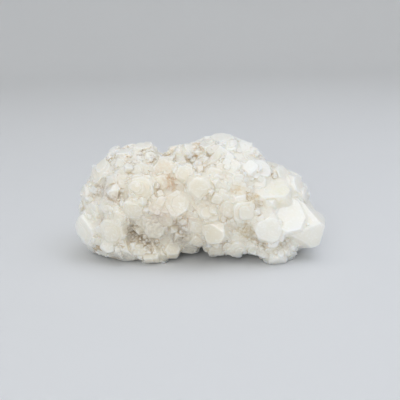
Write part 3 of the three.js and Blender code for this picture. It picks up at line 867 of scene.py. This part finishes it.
def milky_apophyllite(look, druse):
    """Milky apophyllite, natural faces: cloudy white, glassy on the sides and pearly on the ends."""
    material, tree, place = new_material("milky_apophyllite_natural")
    # The body is clouded by inclusions, whiter and creamier in patches of about a centimetre.
    clouds = add(tree, "TexNoise", sized(place, 11, Detail=3))
    cloudy = add(tree, "MapRange", (clouds, 0.36, 0.64))
    tint = add(tree, "Attribute", out="Fac", attribute_name="tint")
    shade = add(tree, "Mix", {0: 0.4, 2: cloudy, 3: tint})
    creamy = spot(tree, place, *CREAMY)
    shade = add(tree, "Math", (shade, 0.35, creamy), operation="MULTIPLY_ADD", use_clamp=True)
    colour = add(tree, "Mix", {0: shade, 6: look.milk, 7: look.cream}, 2, data_type="RGBA")
    # Healed cracks show as thin white veils inside the crystals. Painted light makes the edges whiter, as
    # light shines through them.
    veils = add(tree, "TexNoise", sized(place, 1.8, Detail=5, Distortion=1.2))
    veil = add(tree, "MapRange", (veils, 0.52, 0.66, 0, 0.5))
    rim = add(tree, "Math", (rims(tree, 1.2), 0.6), operation="MULTIPLY")
    veils_and_rim_light = add(tree, "Math", (veil, rim), operation="MAXIMUM")
    colour = add(tree, "Mix", {0: veils_and_rim_light, 6: colour, 7: look.veil}, 2, data_type="RGBA")
    # The druse is sugar-fine, whiter and duller. A few large faces are clean and glassy.
    rough = add(tree, "Attribute", out="Fac", attribute_name="rough")
    fine = add(tree, "MapRange", (rough, ORDINARY, SUGAR))
    colour = add(tree, "Mix", {0: fine, 6: colour, 7: druse.grain}, 2, data_type="RGBA")
    # Iron and clay stain the crevices, some far more than others, and the crevices get painted shade where
    # most closed in.
    patches = add(tree, "TexNoise", sized(place, 7, Detail=4))
    share = add(tree, "MapRange", (patches, 0.38, 0.66, 0.12, 0.8))
    grit = add(tree, "TexNoise", sized(place, 0.9, Detail=3))
    ragged = add(tree, "MapRange", (grit, 0.3, 0.6, 0.55, 1))
    colour = stained_and_shaded(tree, place, colour, crevices(tree, 2.6, ragged), look, share)
    # Growth lines run along the sides. Real ones are far finer: these are 0.7 mm apart so that they show.
    grain = add(tree, "Attribute", out="Vector", attribute_name="grain")
    drawn = add(tree, "VectorMath", (grain, (1.4, 1.4, 0.12)), operation="MULTIPLY")
    lines = add(tree, "TexNoise", {"Vector": drawn, "Scale": 1, "Detail": 2})
    # Etch pits and sugar-fine growths, 0.8 mm across, roughen every face a little.
    pits = add(tree, "TexNoise", sized(place, 0.8, Detail=4))
    first = add(tree, "Bump", {"Height": lines, "Strength": 0.3, "Distance": 0.12 * MM})
    height = add(tree, "Math", (pits, rough), operation="MULTIPLY")
    bump = add(tree, "Bump", {"Height": height, "Strength": 0.6, "Distance": 0.4 * MM, "Normal": first})
    polish = (rough, 0, 1, look.roughness - 0.12, look.roughness + 0.2)
    shader = add(tree, "BsdfPrincipled", {
        "Base Color": colour,
        "Roughness": add(tree, "MapRange", polish),
        "IOR": 1.535,
        "Subsurface Weight": look.translucency,
        "Subsurface Radius": (1.0, 0.9, 0.78),
        "Subsurface Scale": look.depth,
        "Coat Weight": 0.12,
        "Coat Roughness": 0.22,
        "Normal": bump,
    })
    add(tree, "OutputMaterial", {"Surface": shader})
    return material


def stained_matrix(look):
    """Weathered basalt matrix crusted with clay and iron: matt, granular, cream to brown."""
    material, tree, place = new_material("basalt_matrix_weathered")
    clouds = add(tree, "TexNoise", sized(place, 6, Detail=5))
    dark = add(tree, "MapRange", (clouds, 0.38, 0.62))
    colour = add(tree, "Mix", {0: dark, 6: look.clay, 7: look.iron}, 2, data_type="RGBA")
    grains = add(tree, "TexVoronoi", sized(place, 0.7))
    speck = add(tree, "MapRange", (grains, 0.15, 0.6, 0, 0.35))
    colour = add(tree, "Mix", {0: speck, 6: colour, 7: look.grit}, 2, data_type="RGBA")
    # Staining and painted shade in the crevices and spots, as on the crystals.
    colour = stained_and_shaded(tree, place, colour, 0.8, look, 0.1)
    bump = add(tree, "Bump", {"Height": grains, "Strength": 0.6, "Distance": 0.3 * MM})
    inputs = {"Base Color": colour, "Roughness": 0.85, "IOR": 1.5, "Normal": bump}
    shader = add(tree, "BsdfPrincipled", inputs)
    add(tree, "OutputMaterial", {"Surface": shader})
    return material


def studio_paper(setup):
    """Studio background paper, pulp-dyed: matt and even, with the faintest fibre in it."""
    material, tree, place = new_material("background_paper_matt")
    fibre = add(tree, "TexNoise", sized(place, 1.5, Detail=3))
    share = add(tree, "MapRange", (fibre, 0, 1, 0, 0.06))
    darker = (*(v * 0.8 for v in setup.paper[:3]), 1)
    colour = add(tree, "Mix", {0: share, 6: setup.paper, 7: darker}, 2, data_type="RGBA")
    shader = add(tree, "BsdfPrincipled", {"Base Color": colour, "Roughness": 0.9, "IOR": 1.45})
    add(tree, "OutputMaterial", {"Surface": shader})
    return material


def add_piece(name, mesh, material):
    """Adds a piece of the cluster, which moves with it."""
    mesh.name = name
    mesh.materials.clear()
    mesh.materials.append(material)
    piece = add_object(name, mesh)
    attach(piece, BODY)
    return piece


def colour_setting(name, description, text):
    """A setting for a colour, with an sRGB hex colour as its default."""
    return FloatVectorProperty(
        name=name, description=description, default=linear(text), size=4, min=0.0, max=1.0, subtype="COLOR",
    )


def number_setting(name, description, value, most, least=0.0, **kind):
    """A setting for a number, with its default, its limits and what kind of number it is."""
    return FloatProperty(name=name, description=description, default=value, min=least, max=most, **kind)


def length_setting(name, description, size, most):
    """A setting for a length in metres, with its default and its limit in millimetres."""
    kind = {"precision": 5, "subtype": "DISTANCE", "unit": "LENGTH"}
    return number_setting(name, description, size * MM, most * MM, **kind)


def angle_setting(name, description, degrees):
    """A setting for an angle in radians, with its default in degrees."""
    most = math.radians(89)
    return number_setting(name, description, math.radians(degrees), most, -most, subtype="ANGLE")


class CrystalLook(bpy.types.PropertyGroup):
    """Sizes and colours of the crystals."""

    wear: length_setting("Edge wear", "Width of the worn edges", 0.35, 1)
    depth: length_setting("Light depth", "How far light travels inside", 7, 30)
    translucency: number_setting("Translucency", "Share of the light that goes in", 1, 1, subtype="FACTOR")
    roughness: number_setting("Roughness", "Mean roughness of the faces", 0.33, 1, subtype="FACTOR")
    milk: colour_setting("Milk", "Colour of the whiter crystals", "#F4F3EC")
    cream: colour_setting("Cream", "Colour of the warmer crystals", "#E7E0CE")
    # The veil colour also paints the light on the crystals' edges.
    veil: colour_setting("Veils", "Colour of the healed cracks", "#FAFAF6")
    # The crevice colour paints staining and shade alike.
    stain_and_shade: colour_setting("Crevice stain", "Colour of the stain in the crevices", "#BDA579")


class DruseLook(bpy.types.PropertyGroup):
    """Sizes and colour of the fine druse."""

    tries: IntProperty(
        name="Places tried", description="How many places are tried for a grain", default=DRUSE["tries"],
        min=100, max=60000,
    )
    smallest: length_setting("Smallest grain", "Width of the smallest grains", DRUSE["width"][0], 5)
    widest: length_setting("Widest grain", "Width of the widest grains", DRUSE["width"][1], 5)
    grain: colour_setting("Grains", "Colour of the clean grains", "#F3F1E8")


class MatrixLook(bpy.types.PropertyGroup):
    """Roughness and colours of the matrix that shows between the crystals."""

    relief: length_setting("Relief", "Height of its lumps", 0.6, 3)
    clay: colour_setting("Clay", "Colour of the clay crust", "#D6CDBB")
    iron: colour_setting("Iron", "Colour of the iron stain", "#B39C7C")
    grit: colour_setting("Grit", "Colour of the loose grains", "#E6E0D2")
    # Staining and painted shade in the darkest crevices of the matrix.
    stain_and_shade: colour_setting("Crevice stain", "Colour in the darkest crevices", "#806A4C")


class StageSetup(bpy.types.PropertyGroup):
    """The camera, the lights and the paper."""

    lens: number_setting("Lens", "Focal length of the camera", 54, 200, 20, unit="CAMERA")
    distance: length_setting("Distance", "From the camera to the middle of the view", 287, 2000)
    elevation: angle_setting("Elevation", "How far the camera looks down", 16)
    roll: angle_setting("Roll", "How far the camera leans to its right", 1.5)
    key: number_setting("Key light", "Power of the large lamp over the camera", 1.85, 200, unit="POWER")
    fill: number_setting("Fill light", "Power of the large lamp overhead", 0.2, 200, unit="POWER")
    window: number_setting("Window light", "Power of the cool lamp high at the right", 2.5, 200, unit="POWER")
    air: number_setting("Room light", "Strength of the even light all round", 0.88, 4)
    paper: colour_setting("Paper", "Colour of the background paper", "#E0E2E4")


class MINERAL_OT_set_stage(bpy.types.Operator):
    """Sets up the background paper, the lamps and the camera"""

    bl_idname = "mineral.set_stage"
    bl_label = "Set stage"

    def execute(self, context):
        setup = context.scene.mineral_stage
        self.lay_paper(setup)
        middle = (Vector((0, 0, 23.4)) + CENTRING) * MM
        # The key lamp has a grid, so that it doesn't light the paper beneath it.
        for name, place, size, power, spread, colour in (
            ("key_lamp", (-0.3, -1.3, 0.55), 0.8, setup.key, 90, "#FFFFFF"),
            ("top_lamp", (0.1, -0.1, 1.0), 0.9, setup.fill, 180, "#FFFFFF"),
            ("window_lamp", (0.4, -0.14, 0.88), 0.8, setup.window, 180, "#E4ECFF"),
        ):
            self.hang_lamp(name, Vector(place), middle, size, power, spread, colour)
        world = context.scene.world or bpy.data.worlds.new("room")
        context.scene.world = world
        world.use_nodes = True
        air = next(node for node in world.node_tree.nodes if node.type == "BACKGROUND")
        air.inputs["Color"].default_value = linear("#FBF9F5")
        air.inputs["Strength"].default_value = setup.air
        context.scene.view_settings.view_transform = "Standard"
        camera = add_object("camera", bpy.data.cameras.new("camera"))
        camera.data.lens = setup.lens
        camera.data.clip_start = 0.01
        look = Vector((0, math.cos(setup.elevation), -math.sin(setup.elevation)))
        above = Vector((0, math.sin(setup.elevation), math.cos(setup.elevation)))
        right = Vector((1, 0, 0))
        leant = above * math.cos(setup.roll) + right * math.sin(setup.roll)
        side = right * math.cos(setup.roll) - above * math.sin(setup.roll)
        turn = Matrix((side, leant, -look)).transposed().to_4x4()
        camera.matrix_world = Matrix.Translation(middle - look * setup.distance) @ turn
        context.scene.camera = camera
        return {"FINISHED"}

    @staticmethod
    def hang_lamp(name, place, target, size, power, spread, colour):
        """A large square lamp that points at the target, and spreads its light by so many degrees."""
        lamp = bpy.data.lights.new(name, "AREA")
        lamp.color = linear(colour)[:3]
        lamp.size = size
        lamp.energy = power
        lamp.spread = math.radians(spread)
        hung = add_object(name, lamp)
        hung.visible_camera = False
        hung.location = place
        hung.rotation_euler = (target - place).to_track_quat("-Z", "Y").to_euler()

    @staticmethod
    def lay_paper(setup):
        """A round sheet of paper, flat in the middle, that sweeps up at its rim all round."""
        flat, bend, top, steps = 1.1, 0.6, 2.2, 96
        arc = [math.radians(angle) for angle in range(0, 91, 10)]
        rings = [(0.4, 0), (0.8, 0)]
        rings += [(flat + bend * math.sin(a), bend * (1 - math.cos(a))) for a in arc]
        rings.append((flat + bend, top))
        turns = [2 * math.pi * i / steps for i in range(steps)]
        corners = [(0, 0, 0), *((r * math.cos(a), r * math.sin(a), z) for r, z in rings for a in turns)]
        faces = []
        for i in range(steps):
            here, after = 1 + i, 1 + (i + 1) % steps
            faces.append((0, here, after))
            for inner in range(0, steps * (len(rings) - 1), steps):
                outer = inner + steps
                faces.append((inner + here, outer + here, outer + after, inner + after))
        mesh = bpy.data.meshes.new("paper")
        mesh.from_pydata(corners, [], faces)
        mesh.shade_smooth()
        mesh.materials.append(studio_paper(setup))
        add_object("paper", mesh)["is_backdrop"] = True


class MINERAL_OT_grow_crystals(bpy.types.Operator):
    """Grows the large crystals, the crust and what grew on them as one fused piece"""

    bl_idname = "mineral.grow_crystals"
    bl_label = "Grow crystals"

    def execute(self, context):
        look = context.scene.mineral_crystals
        wear = look.wear / MM
        draw = seeded(SEED)
        large = table_crystals(LARGE_CRYSTALS.items(), draw)
        crust = grow_crust(large, draw)
        draw = seeded(DETAIL_SEED)
        lesser = table_crystals(enumerate(HOLLOW_CRYSTALS), draw)
        bodies = []
        for crystal in large + lesser + crust:
            tint = between(TINTS, next(draw))
            grown = bundle(filled_out(crystal), draw) if crystal in crust else family(crystal, draw)
            for one in [grown[0], *filter(within_box, grown[1:])]:
                bodies.append(crystal_body(one, tint, wear if one.width > WORN_WIDTH else 0, draw))
        bodies += [marked(lump(lobe, CORE, detail=3), MASS_TINT, MASS) for lobe in LOBES.values()]
        whole = fused("first_growth", bodies)
        whole = fused("first_growth", [whole, crevice_fill(whole)])
        whole = overgrown("second_growth", whole, ON_MASS, large, draw)
        whole = overgrown("third_growth", whole, IN_HOLLOWS, large, draw)
        piece = add_piece("crystals", whole, milky_apophyllite(look, context.scene.mineral_druse))
        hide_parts(NODE)
        return {"FINISHED"}


class MINERAL_OT_shape_matrix(bpy.types.Operator):
    """Shapes the rough matrix that shows between the crystals"""

    bl_idname = "mineral.shape_matrix"
    bl_label = "Shape matrix"

    def execute(self, context):
        look = context.scene.mineral_matrix
        relief = look.relief / MM

        def rough(point):
            """Lumps of about 3 mm with ever finer ones on them."""
            return relief * (fractal(point / 3, 0.7, 2, 4) - 0.2)

        shares = {name: BARE if name.endswith("foot") else HIDDEN for name in LOBES}
        lumps = [lump(lobe, shares[name], detail=5, rough=rough) for name, lobe in LOBES.items()]
        add_piece("matrix", fused("matrix", lumps), stained_matrix(look))
        return {"FINISHED"}


class MINERAL_OT_scatter_druse(bpy.types.Operator):
    """Grows the fine druse on the crystals, in the hollows between them and over the sugary patches"""

    bl_idname = "mineral.scatter_druse"
    bl_label = "Scatter druse"

    def execute(self, context):
        look = context.scene.mineral_druse
        piece = bpy.data.objects.get("crystals")
        if piece is None:
            raise RuntimeError("The druse needs the crystals: grow them first.")
        rule = {**DRUSE, "tries": look.tries, "width": (look.smallest / MM, look.widest / MM)}
        large = table_crystals(LARGE_CRYSTALS.items(), seeded(SEED))
        material = piece.data.materials[0]
        piece.data = overgrown("crystals", piece.data.copy(), rule, large, seeded(DETAIL_SEED))
        piece.data.materials.clear()
        piece.data.materials.append(material)
        return {"FINISHED"}


class MINERAL_PT_cluster(bpy.types.Panel):
    """Lists the steps that build the cluster, with their settings"""

    bl_label = "Apophyllite cluster"
    bl_idname = "MINERAL_PT_cluster"
    bl_space_type = "VIEW_3D"
    bl_region_type = "UI"
    bl_category = "Mineral"

    def draw(self, context):
        for operator, settings in STEPS:
            box = self.layout.box()
            box.operator(operator.bl_idname)
            group = getattr(context.scene, settings)
            for name in group.__annotations__:
                box.prop(group, name)


GROUPS = {
    "mineral_stage": StageSetup,
    "mineral_crystals": CrystalLook,
    "mineral_matrix": MatrixLook,
    "mineral_druse": DruseLook,
}
STEPS = (
    (MINERAL_OT_set_stage, "mineral_stage"),
    (MINERAL_OT_grow_crystals, "mineral_crystals"),
    (MINERAL_OT_shape_matrix, "mineral_matrix"),
    (MINERAL_OT_scatter_druse, "mineral_druse"),
)
CLASSES = (*GROUPS.values(), *(operator for operator, settings in STEPS), MINERAL_PT_cluster)


def register():
    """Registers the classes and adds their settings to the scene."""
    for kind in CLASSES:
        bpy.utils.register_class(kind)
    for name, kind in GROUPS.items():
        setattr(bpy.types.Scene, name, PointerProperty(type=kind))


def unregister():
    """Takes the settings and the classes away again."""
    for name in GROUPS:
        delattr(bpy.types.Scene, name)
    for kind in reversed(CLASSES):
        bpy.utils.unregister_class(kind)


def main():
    """Builds the cluster and its stage."""
    register()
    bpy.ops.mineral.set_stage()
    bpy.ops.mineral.grow_crystals()
    bpy.ops.mineral.shape_matrix()
    bpy.ops.mineral.scatter_druse()
    boxes = {"cad": CAD_BOX, "visual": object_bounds()}
    {name: [list(corner) for corner in box] for name, box in boxes.items()}


if __name__ == "__main__":
    main()
